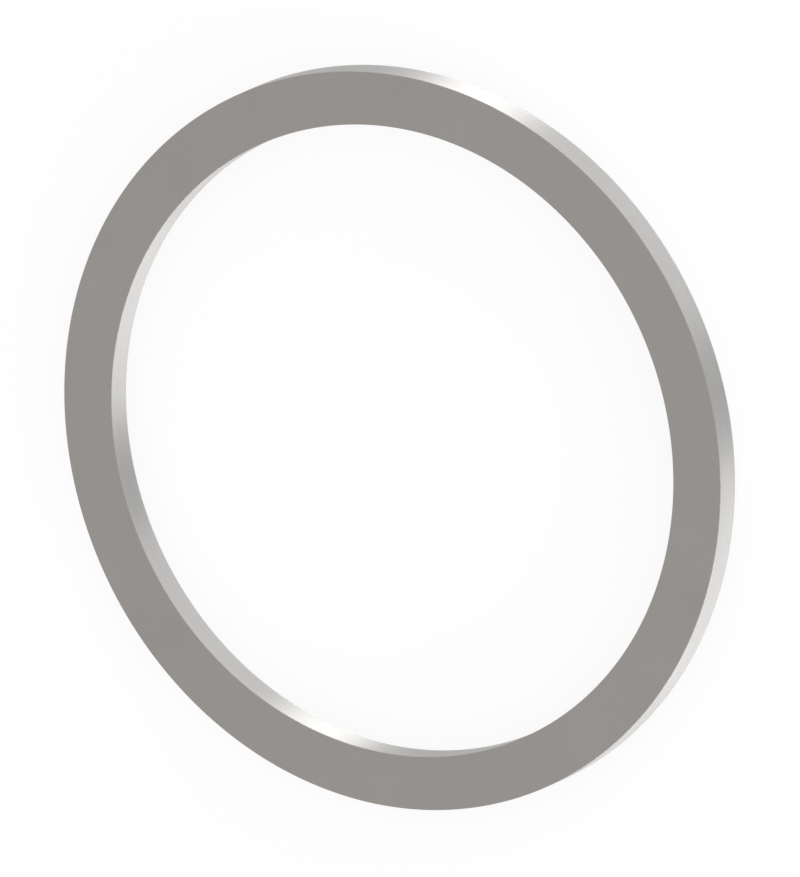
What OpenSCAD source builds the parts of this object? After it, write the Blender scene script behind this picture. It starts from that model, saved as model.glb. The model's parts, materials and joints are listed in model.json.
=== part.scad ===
// Balance ring seal
// One flat ring of plain rectangular section, turned from steel in one piece. Both faces are lapped
// flat, the bore and the outer wall are fine turned, and the four sharp edges are broken.
// The ring lies on its back face. Z is its axis, and the origin is the centre of the bore on that face.
// All sizes are in millimetres.

/* [Ring] */
// Diameter of the bore
bore_d = 77; // [20:0.5:200]
// Width of the sealing face, from the bore to the outer wall
face_w = 6.5; // [2:0.1:20]
// Thickness, from the back face to the sealing face
thickness = 3.5; // [1:0.1:12]

/* [Edges] */
// Leg of the 45 degree chamfer that breaks each sharp edge
edge_break = 0.05; // [0.02:0.01:0.4]

/* [Hidden] */
$fn = 360;
bore_r = bore_d / 2;
steel_grey = [0.58, 0.57, 0.556];

// Rectangle with its lower left corner at the origin and all four corners cut at 45 degrees
module chamfered_rectangle(w, h, leg) {
    polygon([
        [leg, 0], [w - leg, 0],
        [w, leg], [w, h - leg],
        [w - leg, h], [leg, h],
        [0, h - leg], [0, leg],
    ]);
}

// The whole seal: the section, turned round the axis at the radius of the bore
module seal_ring() {
    color(steel_grey)
        rotate_extrude()
            translate([bore_r, 0])
                chamfered_rectangle(face_w, thickness, edge_break);
}

seal_ring();
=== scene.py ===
# %% [markdown]
# # Balance ring seal
# The seal is one flat ring of plain rectangular section, turned from steel. Its two faces are lapped to a
# dull even grey, its bore and outer wall are fine turned and stay brighter, and a stone has broken its four
# sharp edges. We dress it in this order: sizes, camera, finishes, shape, studio.
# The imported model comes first, as a frame that is never moved. Everything below is placed by it.

# %% Load the frame and keep its box
import json
import math

import bpy
from mathutils import Euler, Matrix, Vector


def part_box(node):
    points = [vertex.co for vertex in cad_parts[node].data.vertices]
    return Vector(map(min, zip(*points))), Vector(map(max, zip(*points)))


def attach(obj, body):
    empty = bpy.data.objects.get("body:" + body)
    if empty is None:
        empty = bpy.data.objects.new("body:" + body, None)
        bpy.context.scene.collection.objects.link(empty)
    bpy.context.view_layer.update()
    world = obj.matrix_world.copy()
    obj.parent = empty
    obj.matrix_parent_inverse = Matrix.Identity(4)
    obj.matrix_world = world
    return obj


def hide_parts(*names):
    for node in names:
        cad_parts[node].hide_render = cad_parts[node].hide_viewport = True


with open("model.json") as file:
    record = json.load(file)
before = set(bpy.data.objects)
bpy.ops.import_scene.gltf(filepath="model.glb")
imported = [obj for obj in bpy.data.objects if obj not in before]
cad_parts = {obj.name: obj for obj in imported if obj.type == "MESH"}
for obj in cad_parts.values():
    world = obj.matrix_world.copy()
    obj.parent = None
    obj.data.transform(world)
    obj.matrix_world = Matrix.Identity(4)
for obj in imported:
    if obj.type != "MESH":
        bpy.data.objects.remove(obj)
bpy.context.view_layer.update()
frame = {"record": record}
scene = bpy.context.scene

# %% [markdown]
# ## Sizes
# A ring needs four sizes: two radii, a thickness and the leg of the broken edge. We don't type them.
# The box of the ring in the frame gives the outside and the thickness. The record says how big the bore
# is and how long its straight stretch is, so half of what is missing from the thickness is the edge.

# %% Read the ring's sizes
MM = 0.001
low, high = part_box("seal_ring")
mounts = {mount["name"]: mount["dims"] for mount in frame["record"]["mounts"]}
outer_r = (high.x - low.x) / 2
bore_r = mounts["bore"]["r_mm"] * MM
thickness = high.z - low.z
edge_leg = (thickness - mounts["bore"]["length_mm"] * MM) / 2
for name, size in (("outside", outer_r), ("bore", bore_r), ("thickness", thickness), ("edge", edge_leg)):
    print(f"{name}: {size / MM:.3f} mm")

# %% [markdown]
# ## The view
# In the picture the outer and the inner rim are two ellipses with one centre, one tilt and one ratio. Only
# a view without perspective does that, so the camera is orthographic. The ratio of an ellipse's short to
# its long axis is the sine of the angle at which we look down on the face, its tilt is the camera's roll,
# and its long axis in pixels against the outside radius gives the scale.

# %% Work the view out from the rim's ellipse
PICTURE_PX = (800, 877)
RIM_CENTRE_PX = (392.26, 440.77)
RIM_LONG_HALF_PX = 379.09
RIM_SHORT_HALF_PX = 317.03
RIM_TILT_DEG = 65.89

look_down = math.asin(RIM_SHORT_HALF_PX / RIM_LONG_HALF_PX)
roll = math.radians(RIM_TILT_DEG) - math.pi
metres_per_px = outer_r / RIM_LONG_HALF_PX
to_camera = Vector((0, -math.cos(look_down), math.sin(look_down)))
turned = to_camera.to_track_quat("Z", "Y").to_matrix() @ Matrix.Rotation(roll, 3, "Z")
print(f"we look down at {math.degrees(look_down):.2f} degrees, {metres_per_px / MM:.4f} mm to the pixel")

# %% [markdown]
# ## The camera
# The lens could be shifted to bring the ring to its place in the picture, but a shift would spoil views
# from other sides. Instead the camera itself is slid, sideways and up, until the centre of the
# upper face lands on its pixel.

# %% Place the camera
CAMERA_AWAY = 1.0

face_centre = Vector((0, 0, high.z))
picture_right, picture_up = turned.col[0], turned.col[1]
slide_right = (PICTURE_PX[0] / 2 - RIM_CENTRE_PX[0]) * metres_per_px
slide_up = (RIM_CENTRE_PX[1] - PICTURE_PX[1] / 2) * metres_per_px

camera = bpy.data.objects.new("camera", bpy.data.cameras.new("camera"))
camera.data.type = "ORTHO"
camera.data.ortho_scale = max(PICTURE_PX) * metres_per_px
camera.matrix_world = turned.to_4x4()
camera.location = face_centre + to_camera * CAMERA_AWAY + picture_right * slide_right + picture_up * slide_up
scene.collection.objects.link(camera)
scene.camera = camera
print("camera at", [round(part, 4) for part in camera.location])

# %% [markdown]
# ## A shorthand for nodes
# Finishes and shapes are trees of nodes. Wiring them by hand hides the sums that they do, so one small
# class holds an output and lets Python's own operators add the Math nodes: `1 - mask` is then a node.
# Any other node comes from the method `node`: its type, then its settings, then what its sockets get.

# %% The class that wires nodes
class Wire:
    """One output in a tree of nodes. A Wire with no socket is the bare tree, to start from."""

    def __init__(self, tree, socket=None):
        self.tree = tree
        self.socket = socket

    def node(self, kind, settings=None, sockets=None, out=0):
        """Adds a node, sets it up, feeds its sockets and gives back one of its outputs."""
        made = self.tree.nodes.new(kind)
        for name, value in (settings or {}).items():
            setattr(made, name, value)
        for name, value in (sockets or {}).items():
            if isinstance(value, Wire):
                self.tree.links.new(value.socket, made.inputs[name])
            else:
                made.inputs[name].default_value = value
        return Wire(self.tree, made.outputs[out] if made.outputs else None)

    def also(self, out):
        """Another output of the node that this one comes from."""
        return Wire(self.tree, self.socket.node.outputs[out])

    def math(self, operation, *values):
        """A Math node that does this operation on numbers."""
        return self.node("ShaderNodeMath", {"operation": operation}, dict(enumerate(values)))

    def vector_math(self, operation, *values, out="Vector"):
        """The same for vectors, because a Math node would make one number of each."""
        return self.node("ShaderNodeVectorMath", {"operation": operation}, dict(enumerate(values)), out)

    def __add__(self, other):
        return self.math("ADD", self, other)

    def __sub__(self, other):
        return self.math("SUBTRACT", self, other)

    def __rsub__(self, other):
        return self.math("SUBTRACT", other, self)

    def __mul__(self, other):
        return self.math("MULTIPLY", self, other)

    def __truediv__(self, other):
        return self.math("DIVIDE", self, other)

    def __rtruediv__(self, other):
        return self.math("DIVIDE", other, self)

    def __gt__(self, other):
        return self.math("GREATER_THAN", self, other)

    def __lt__(self, other):
        return self.math("LESS_THAN", self, other)

    __radd__ = __add__
    __rmul__ = __mul__


print("the class Wire adds a node for each of + - * / > <")

# %% [markdown]
# ## What the finishes share
# Each finish is a short tree. It starts from the place on the surface in millimetres, so that a size in it
# is written as it would be measured. Its unevenness is noise, and two colours are mixed by it. It ends in
# bare metal: one shader, with a bump for what is too fine to model.

# %% Helpers for the finishes
NOISE_MIDDLE = 0.5
# A Mix node has sockets for every kind of data. These are the places of its share and of its colours
MIX_SHARE, MIX_FIRST, MIX_SECOND, MIX_RESULT = 0, 6, 7, 2


def empty_finish(name):
    """A material with nothing in it yet, and the place on the surface in millimetres."""
    material = bpy.data.materials.new(name)
    material.use_nodes = True
    material.node_tree.nodes.clear()
    place = Wire(material.node_tree).node("ShaderNodeTexCoord", out="Object")
    return material, place.vector_math("DIVIDE", place, (MM, MM, MM))


def spots(place, per_mm, detail):
    """Soft random spots, about so many to the millimetre, from -0.5 to 0.5."""
    noise = place.node("ShaderNodeTexNoise", {}, {"Vector": place, "Scale": per_mm, "Detail": detail})
    return noise - NOISE_MIDDLE


def between(share, first, second):
    """The colour at this share of the way from the first to the second, half way where share is 0."""
    colours = {MIX_SHARE: share + NOISE_MIDDLE, MIX_FIRST: (*first, 1), MIX_SECOND: (*second, 1)}
    return share.node("ShaderNodeMix", {"data_type": "RGBA"}, colours, MIX_RESULT)


def end_in_metal(colour, roughness, height, height_mm, same_all_over):
    """Ends a tree in bare metal. What is the same all over is set on the shader's own sockets."""
    bump = colour.node("ShaderNodeBump", {}, {"Height": height, "Distance": height_mm * MM})
    uneven = {"Base Color": colour, "Roughness": roughness, "Normal": bump}
    shader = colour.node("ShaderNodeBsdfPrincipled", {}, {**uneven, "Metallic": 1.0, **same_all_over})
    colour.node("ShaderNodeOutputMaterial", {}, {"Surface": shader})


print("helpers ready, sizes in the finishes are in units of", MM, "m")

# %% [markdown]
# ## Lapped faces
# A lapped face is rubbed flat on a plate with loose grit. The grit rolls and leaves countless tiny pits with
# no direction, so the face is an even, dull grey, with a faint cloud where the plate cut a little more. One
# flat grey would look like plastic, so two sizes of noise give it grain and cloud.

# %% Start the lapped finish with grain and cloud
GRAIN_PER_MM, GRAIN_DETAIL = 8.0, 2
CLOUD_PER_MM, CLOUD_DETAIL = 0.11, 2

lapped_face, place = empty_finish("lapped_face")
grain = spots(place, GRAIN_PER_MM, GRAIN_DETAIL)
cloud = spots(place, CLOUD_PER_MM, CLOUD_DETAIL)
print(f"grain of {1 / GRAIN_PER_MM:.2f} mm, cloud of {1 / CLOUD_PER_MM:.0f} mm")

# %% [markdown]
# ### Hair scratches
# Here and there a coarse grain is dragged instead of rolling, and draws a hair scratch in a long arc. To
# paint them one by one would take a list of curves. Lines at random distances from a few points beside the
# ring do the same, because each crosses the face in a short arc. A soft noise fades them in and out.

# %% Draw the hair scratches
LAP_CENTRES_MM = ((70, 15, 0), (-45, 62, 0), (-12, -80, 0))
HAIRS_PER_MM, HAIR_HALF_MM = 0.4, 0.04
FADES_PER_MM, FADES_DETAIL = 0.2, 1


def hairs_about(centre, place):
    """From 0 to 1 on the hair scratches that stray grit drew round this centre."""
    away = place.vector_math("DISTANCE", place, centre, out="Value")
    lines = {"W": away, "Scale": HAIRS_PER_MM}
    off_line = place.node("ShaderNodeTexVoronoi", {"voronoi_dimensions": "1D"}, lines)
    return place.math("MAXIMUM", 1 - off_line / (HAIR_HALF_MM * HAIRS_PER_MM), 0)


drawn = place.math("MAXIMUM", spots(place, FADES_PER_MM, FADES_DETAIL), 0)
hairs = sum(hairs_about(centre, place) for centre in LAP_CENTRES_MM) * drawn
print("a hair scratch every", round(1 / HAIRS_PER_MM / len(LAP_CENTRES_MM), 2), "mm, before they fade")

# %% [markdown]
# ### The lapped metal
# Pits catch the light from all sides, so the grain is seen in the colour, the gloss and the height at once.
# The cloud is in the colour alone. A hair scratch is a little brighter and glossier than the pits round it.

# %% Finish the lapped metal
LAPPED_DARK, LAPPED_LIGHT = (0.293, 0.277, 0.264), (0.352, 0.332, 0.317)
LAPPED_ROUGHNESS = 0.62
LAPPED_BUMP_MM = 0.001
GRAIN_COLOUR, CLOUD_COLOUR, HAIR_COLOUR = 1.5, 0.4, 3.0
GRAIN_DULLS, HAIR_POLISHES = 0.12, 0.2

shade = grain * GRAIN_COLOUR + cloud * CLOUD_COLOUR + hairs * HAIR_COLOUR
end_in_metal(
    colour=between(shade, LAPPED_DARK, LAPPED_LIGHT),
    roughness=LAPPED_ROUGHNESS + grain * GRAIN_DULLS - hairs * HAIR_POLISHES,
    height=grain,
    height_mm=LAPPED_BUMP_MM,
    same_all_over={},
)
print("lapped face:", len(lapped_face.node_tree.nodes), "nodes")

# %% [markdown]
# ## Turned walls
# The bore and the outer wall come straight from the lathe. The tool leaves fine grooves that run round the
# axis, so light spreads across the grooves and stays sharp along them: a lamp beside the ring is drawn out
# into a bright band from face to face. That is the shader's anisotropy, turned a quarter so that it
# spreads along the axis. The grooves themselves are noise that is drawn out round the ring.

# %% Make the turned finish
TURNED_DARK, TURNED_LIGHT = (0.469, 0.463, 0.454), (0.517, 0.511, 0.502)
TURNED_ROUGHNESS = 0.6
TURNED_BUMP_MM = 0.002
DRAWN_OUT = (0.03, 0.03, 1.0)
GROOVES_PER_MM, GROOVES_DETAIL = 6.0, 2
BANDS_PER_MM, BANDS_DETAIL = 1.2, 1
GROOVE_COLOUR, BAND_COLOUR, GROOVE_DULLS = 1.2, 1.0, 0.1
ACROSS_THE_GROOVES = {"Anisotropic": 1.0, "Anisotropic Rotation": 0.25}

turned_wall, place = empty_finish("turned_wall")
round_the_ring = place.vector_math("MULTIPLY", place, DRAWN_OUT)
grooves = spots(round_the_ring, GROOVES_PER_MM, GROOVES_DETAIL)
bands = spots(round_the_ring, BANDS_PER_MM, BANDS_DETAIL)
end_in_metal(
    colour=between(grooves * GROOVE_COLOUR + bands * BAND_COLOUR, TURNED_DARK, TURNED_LIGHT),
    roughness=TURNED_ROUGHNESS + grooves * GROOVE_DULLS,
    height=grooves,
    height_mm=TURNED_BUMP_MM,
    same_all_over=ACROSS_THE_GROOVES,
)
print("turned wall:", len(turned_wall.node_tree.nodes), "nodes")

# %% [markdown]
# ## Broken edges
# Each edge is a narrow 45 degree flat, rubbed with a fine stone until it no longer cuts. It is matt and
# slightly uneven, darker than the turned wall beside it. A short noise and a rough grey are all it needs.

# %% Make the stoned finish
STONED_DARK, STONED_LIGHT = (0.245, 0.237, 0.228), (0.295, 0.286, 0.276)
STONED_ROUGHNESS = 0.65
STONED_BUMP_MM = 0.004
NICKS_PER_MM, NICKS_DETAIL = 2.0, 2
NICK_DULLS = 0.2

stoned_edge, place = empty_finish("stoned_edge")
nicks = spots(place, NICKS_PER_MM, NICKS_DETAIL)
end_in_metal(
    colour=between(nicks, STONED_DARK, STONED_LIGHT),
    roughness=STONED_ROUGHNESS + nicks * NICK_DULLS,
    height=nicks,
    height_mm=STONED_BUMP_MM,
    same_all_over={},
)
print("stoned edge:", len(stoned_edge.node_tree.nodes), "nodes")

# %% [markdown]
# ## The ring's shape
# A lathe makes the ring by one rule: a section, carried once round an axis. Its mesh could be typed in point
# by point or cut from a cylinder, but Geometry Nodes can say the rule itself. The sizes and the finishes
# are named inputs of the tree, and take what we measured and made above.

# %% Name the inputs of the sweep
STEPS_ROUND = 720
RING_INPUTS = {
    "Outer radius": ("NodeSocketFloat", outer_r),
    "Bore radius": ("NodeSocketFloat", bore_r),
    "Thickness": ("NodeSocketFloat", thickness),
    "Edge leg": ("NodeSocketFloat", edge_leg),
    "Steps round": ("NodeSocketInt", STEPS_ROUND),
    "Face finish": ("NodeSocketMaterial", lapped_face),
    "Wall finish": ("NodeSocketMaterial", turned_wall),
    "Edge finish": ("NodeSocketMaterial", stoned_edge),
}
sweep = bpy.data.node_groups.new("section_round_axis", "GeometryNodeTree")
value_by_identifier = {}
for name, (kind, value) in RING_INPUTS.items():
    socket = sweep.interface.new_socket(name, in_out="INPUT", socket_type=kind)
    value_by_identifier[socket.identifier] = value
sweep.interface.new_socket("Ring", in_out="OUTPUT", socket_type="NodeSocketGeometry")
start = Wire(sweep)
group_input = start.node("NodeGroupInput")
given = {name: group_input.also(name) for name in RING_INPUTS}
print("the sweep takes:", ", ".join(given))

# %% [markdown]
# ### Section and circle
# The section is a rectangle whose corners are cut by a fillet of one step, which is a chamfer. It is carried
# round a circle that runs through its middle. Both curves store how far along them each point is, from 0
# to 1, and the sweep hands that on to the mesh, where it will serve to lay the skin out flat.

# %% Sweep the section round the circle
def with_share_along(curve, name):
    """The curve, with the share of its length at which each point lies stored under that name."""
    along = curve.node("GeometryNodeSplineParameter", out="Factor")
    stored = {"Geometry": curve, "Name": name, "Value": along}
    return curve.node("GeometryNodeStoreNamedAttribute", {}, stored)


outer, bore = given["Outer radius"], given["Bore radius"]
circle = start.node(
    "GeometryNodeCurvePrimitiveCircle",
    {"mode": "RADIUS"},
    {"Resolution": given["Steps round"], "Radius": (outer + bore) / 2},
)
rectangle = start.node(
    "GeometryNodeCurvePrimitiveQuadrilateral",
    {"mode": "RECTANGLE"},
    {"Width": outer - bore, "Height": given["Thickness"]},
)
section = start.node(
    "GeometryNodeFilletCurve",
    {"mode": "POLY"},
    {"Curve": rectangle, "Count": 1, "Radius": given["Edge leg"]},
)
swept = start.node(
    "GeometryNodeCurveToMesh",
    {},
    {"Curve": with_share_along(circle, "turn"), "Profile Curve": with_share_along(section, "run")},
)
print("sweep so far:", len(sweep.nodes), "nodes")

# %% [markdown]
# ### Standing and crisp
# The sweep leaves the ring half above and half below its circle, so it is lifted by half its thickness, to
# lie on its back face. Shading is smooth round the ring, and stays crisp where two faces meet at an angle.

# %% Lift the ring and keep its edges crisp
CRISP_FROM = math.radians(20)

lift = start.node("ShaderNodeCombineXYZ", {}, {"Z": given["Thickness"] / 2})
lifted = start.node("GeometryNodeTransform", {}, {"Geometry": swept, "Translation": lift})
smooth = start.node("GeometryNodeSetShadeSmooth", {"domain": "FACE"}, {"Geometry": lifted})
bend = start.node("GeometryNodeInputMeshEdgeAngle", out="Unsigned Angle")
crisp = start.node(
    "GeometryNodeSetShadeSmooth",
    {"domain": "EDGE"},
    {"Geometry": smooth, "Selection": bend > CRISP_FROM, "Shade Smooth": False},
)
print("edges are crisp from", round(math.degrees(CRISP_FROM)), "degrees")

# %% [markdown]
# ### Which finish goes where
# Flat faces were lapped, upright walls were turned, and what slopes is a broken edge. So the upward part of
# a face's normal picks its finish, with no list of faces to keep. The tree ends in Realize Instances and
# Set Material, because an export wants plain geometry.

# %% Hand out the finishes
LEVEL_FROM, UPRIGHT_TO = 0.9, 0.1

normal = start.node("GeometryNodeInputNormal")
upward = start.node("ShaderNodeSeparateXYZ", {}, {"Vector": normal}, "Z")
slope = upward.math("ABSOLUTE", upward)
realized = start.node("GeometryNodeRealizeInstances", {}, {"Geometry": crisp})
ring = start.node("GeometryNodeSetMaterial", {}, {"Geometry": realized, "Material": given["Edge finish"]})
for finish, where in (("Face finish", slope > LEVEL_FROM), ("Wall finish", slope < UPRIGHT_TO)):
    ring = start.node(
        "GeometryNodeSetMaterial", {}, {"Geometry": ring, "Selection": where, "Material": given[finish]}
    )
start.node("NodeGroupOutput", {}, {"Ring": ring})
print("the whole sweep:", len(sweep.nodes), "nodes")

# %% [markdown]
# ### A plain mesh
# The tree is run once on an empty object, each input set by its socket's identifier, and the result is kept
# as a plain mesh, so the modifier can go. A solid whose faces all look outward has a volume above nought,
# and for a ring it should be close to the area of the section times the length of the circle.

# %% Run the sweep and keep the mesh
seal = bpy.data.objects.new("seal_ring_turned", bpy.data.meshes.new("empty"))
scene.collection.objects.link(seal)
modifier = seal.modifiers.new("sweep", "NODES")
modifier.node_group = sweep
for identifier, value in value_by_identifier.items():
    modifier[identifier] = value
evaluated = seal.evaluated_get(bpy.context.evaluated_depsgraph_get())
ring_mesh = bpy.data.meshes.new_from_object(evaluated)
seal.modifiers.remove(modifier)
seal.data = ring_mesh

volume = sum(face.center.dot(face.normal) * face.area for face in ring_mesh.polygons) / 3
expected = ((outer_r - bore_r) * thickness - 2 * edge_leg**2) * math.pi * (outer_r + bore_r)
print(f"{len(ring_mesh.polygons)} faces, {volume / MM**3:.1f} mm3, expected {expected / MM**3:.1f} mm3")

# %% [markdown]
# ### The skin laid out flat
# For other programs the finishes are painted on a flat map of the skin. An automatic map would hold two wide
# hoops with nothing inside them. A turned ring unrolls far better: it is cut into equal lengths, and these
# are straightened and stacked as rows, so that the map runs along the grooves and hardly any of it is lost.

# %% Unroll the skin into rows
# Other programs get the finishes painted on a map of this name; a piece without one gets a map made for it
SKIN_MAP = "OFBake"
ROWS = 4
ROW_GAP = 0.03
HALF_WAY = 0.5


def past_the_start(shares):
    """The shares of a face's corners, with one added to those that lie past the start of the run."""
    furthest = max(shares)
    return [share + 1 if furthest - share > HALF_WAY else share for share in shares]


def inset(share):
    """A share of a row, drawn in from both its ends by half of the gap."""
    return ROW_GAP / 2 + share * (1 - ROW_GAP)


skin = ring_mesh.uv_layers.new(name=SKIN_MAP)
turn_at = [point.value for point in ring_mesh.attributes["turn"].data]
run_at = [point.value for point in ring_mesh.attributes["run"].data]
for face in ring_mesh.polygons:
    turns = past_the_start([turn_at[point] for point in face.vertices])
    runs = past_the_start([run_at[point] for point in face.vertices])
    row = int(ROWS * sum(turns) / len(turns))
    for corner, turn, run in zip(face.loop_indices, turns, runs):
        skin.uv[corner].vector = (inset(ROWS * turn - row), (row + inset(run)) / ROWS)
for name in ("turn", "run"):
    ring_mesh.attributes.remove(ring_mesh.attributes[name])
print("skin unrolled into", ROWS, "rows of", round(2 * math.pi * outer_r / MM / ROWS, 1), "mm")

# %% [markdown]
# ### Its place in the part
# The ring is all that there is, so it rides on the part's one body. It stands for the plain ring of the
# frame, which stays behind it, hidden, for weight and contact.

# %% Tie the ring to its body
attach(seal, "root")
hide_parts("seal_ring")
print(seal.name, "wears", [finish.name for finish in ring_mesh.materials])

# %% [markdown]
# ## The floor
# The ring lies on a plain white floor. What the camera and the metal see of it is mostly a white of
# strength 1, asked for by Light Path, so that it is white in the picture without more light on the ring.
# The rest is white paint, and that share keeps the ring's soft shadow.

# %% Lay the floor
FLOOR_HALF = 6.0
FLOOR_WHITE = (0.95, 0.95, 0.95, 1)
SEEN_SHARE = 0.8
# The places of a Mix Shader's sockets, two of which have the same name
SHADER_SHARE, SHADER_FIRST, SHADER_SECOND = 0, 1, 2


def seen_directly(start):
    """1 for rays from the camera and for those that metal or glass sends on, else 0."""
    camera_ray = start.node("ShaderNodeLightPath", out="Is Camera Ray")
    mirrored = start.math("MAXIMUM", camera_ray.also("Is Glossy Ray"), camera_ray.also("Is Transmission Ray"))
    return start.math("MAXIMUM", camera_ray, mirrored)


floor_paint = bpy.data.materials.new("floor_paint")
floor_paint.use_nodes = True
floor_paint.node_tree.nodes.clear()
floor_paint.cycles.emission_sampling = "NONE"
start = Wire(floor_paint.node_tree)
paint = start.node("ShaderNodeBsdfDiffuse", {}, {"Color": FLOOR_WHITE})
white = start.node("ShaderNodeEmission", {}, {"Strength": 1.0})
share = seen_directly(start) * SEEN_SHARE
shaders = {SHADER_SHARE: share, SHADER_FIRST: paint, SHADER_SECOND: white}
mixed = start.node("ShaderNodeMixShader", {}, shaders)
start.node("ShaderNodeOutputMaterial", {}, {"Surface": mixed})

floor_mesh = bpy.data.meshes.new("floor")
corners = [(x * FLOOR_HALF, y * FLOOR_HALF, low.z) for x, y in ((-1, -1), (1, -1), (1, 1), (-1, 1))]
floor_mesh.from_pydata(corners, [], [range(len(corners))])
floor_mesh.materials.append(floor_paint)
floor = bpy.data.objects.new("floor", floor_mesh)
scene.collection.objects.link(floor)
print("floor:", 2 * FLOOR_HALF, "m square, at a height of", low.z)

# %% [markdown]
# ## The room
# The room round the floor is white too, at a strength of 1 for the camera and for the metal. For the light
# that falls on things it is a little dimmer, because the lamps bring the rest: together they light a surface
# so that a colour comes out about as it is written.

# %% Paint the room
ROOM_LIGHT = 0.9

scene.world = bpy.data.worlds.new("white_room")
scene.world.use_nodes = True
scene.world.node_tree.nodes.clear()
scene.world.cycles.sampling_method = "NONE"
start = Wire(scene.world.node_tree)
strength = ROOM_LIGHT + seen_directly(start) * (1 - ROOM_LIGHT)
backdrop = start.node("ShaderNodeBackground", {}, {"Color": (1, 1, 1, 1), "Strength": strength})
start.node("ShaderNodeOutputWorld", {}, {"Surface": backdrop})
print("room: strength 1 where it is seen,", ROOM_LIGHT, "as light")

# %% [markdown]
# ## The lamps
# Four long soft boxes stand low round the ring, like strip lights at the edge of a table: two to its left, a
# bright narrow one to its right and a wide one in front. The turned walls draw each of them out into a band,
# so a box is placed by where its band should fall. Seen from above, the flat face mirrors what stands higher.
# There the room is white all over, so the face keeps its even grey from nearly every side.

# %% Make soft boxes
LAMP_AWAY = 2.0


def soft_box(name, azimuth, height, half_width, half_height, brightness):
    """An area lamp, placed and sized by angles in degrees, so many times as bright as the white room."""
    box = bpy.data.lights.new(name, "AREA")
    box.shape = "RECTANGLE"
    box.size = 2 * LAMP_AWAY * math.tan(math.radians(half_width))
    box.size_y = 2 * LAMP_AWAY * math.tan(math.radians(half_height))
    box.energy = brightness * math.pi * box.size * box.size_y
    lamp = bpy.data.objects.new(name, box)
    lamp.location = (LAMP_AWAY, 0, 0)
    lamp.location.rotate(Euler((0, -math.radians(height), math.radians(azimuth))))
    lamp.rotation_mode = "QUATERNION"
    lamp.rotation_quaternion = lamp.location.to_track_quat("Z", "Y")
    lamp.visible_camera = False
    scene.collection.objects.link(lamp)
    print(f"{name}: {box.size:.2f} x {box.size_y:.2f} m, {box.energy:.0f} W")


soft_box("left_front_box", azimuth=207, height=8, half_width=27, half_height=5, brightness=11.3)
soft_box("left_back_box", azimuth=166, height=8, half_width=16, half_height=5, brightness=7.3)
soft_box("right_box", azimuth=-20, height=7, half_width=11, half_height=4, brightness=31.5)
soft_box("front_box", azimuth=-69, height=7, half_width=29, half_height=4, brightness=8.2)

# %% [markdown]
# ## The view transform
# The picture is shown with the Standard view, so a colour isn't bent on its way to the screen.

# %% Show the picture with the Standard view
scene.view_settings.view_transform = "Standard"
